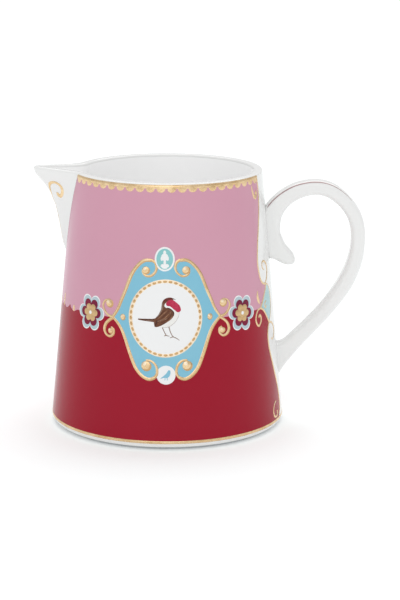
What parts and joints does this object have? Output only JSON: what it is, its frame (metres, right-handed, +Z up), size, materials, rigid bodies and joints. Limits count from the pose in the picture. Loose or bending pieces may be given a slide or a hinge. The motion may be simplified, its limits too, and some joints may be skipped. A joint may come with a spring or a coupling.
{
  "type": "porcelain cream jug",
  "caption": "Small conical porcelain cream jug with a beak spout, a looped handle with a thumb curl, and fired-on colour grounds, medallions, flowers and gilding.",
  "frame": {"origin": "centre of the foot ring, on the plane that the jug stands on", "axes": "+Z up the body's axis, +X towards the handle with the spout towards -X, and the medallion seen from -Y"},
  "size_m": [0.1159, 0.0822, 0.0906],
  "materials": {
    "porcelain": "glossy clear glaze over white porcelain",
    "white_enamel": "glossy white enamel",
    "pink_enamel": "glossy pink ground colour",
    "red_enamel": "glossy dark red ground colour",
    "blue_enamel": "glossy light blue enamel",
    "turquoise_enamel": "glossy pale turquoise enamel",
    "brown_enamel": "glossy brown enamel",
    "gold": "bright fired gold"
  },
  "bodies": {
    "root": {"jug_body": "porcelain", "spout": "porcelain", "handle": "porcelain", "pink_ground": "pink_enamel", "red_ground": "red_enamel", "cartouche_ground": "blue_enamel", "medallion_disc": "white_enamel", "songbird_brown": "brown_enamel", "songbird_red": "red_enamel", "cameo_rim": "white_enamel", "cameo_ground": "turquoise_enamel", "cameo_figure": "white_enamel", "roundel": "white_enamel", "roundel_bird": "blue_enamel", "flower_edges": "white_enamel", "flower_petals": "turquoise_enamel", "flower_inner": "red_enamel", "flower_hearts": "gold", "side_panels": "turquoise_enamel", "cartouche_outline": "gold", "bead_ring": "gold", "scrolls": "gold", "rim_gilding": "gold", "foot_gilding": "gold", "spout_gilding": "gold", "side_gilding": "gold", "handle_gilding": "gold"}
  },
  "joints": []
}
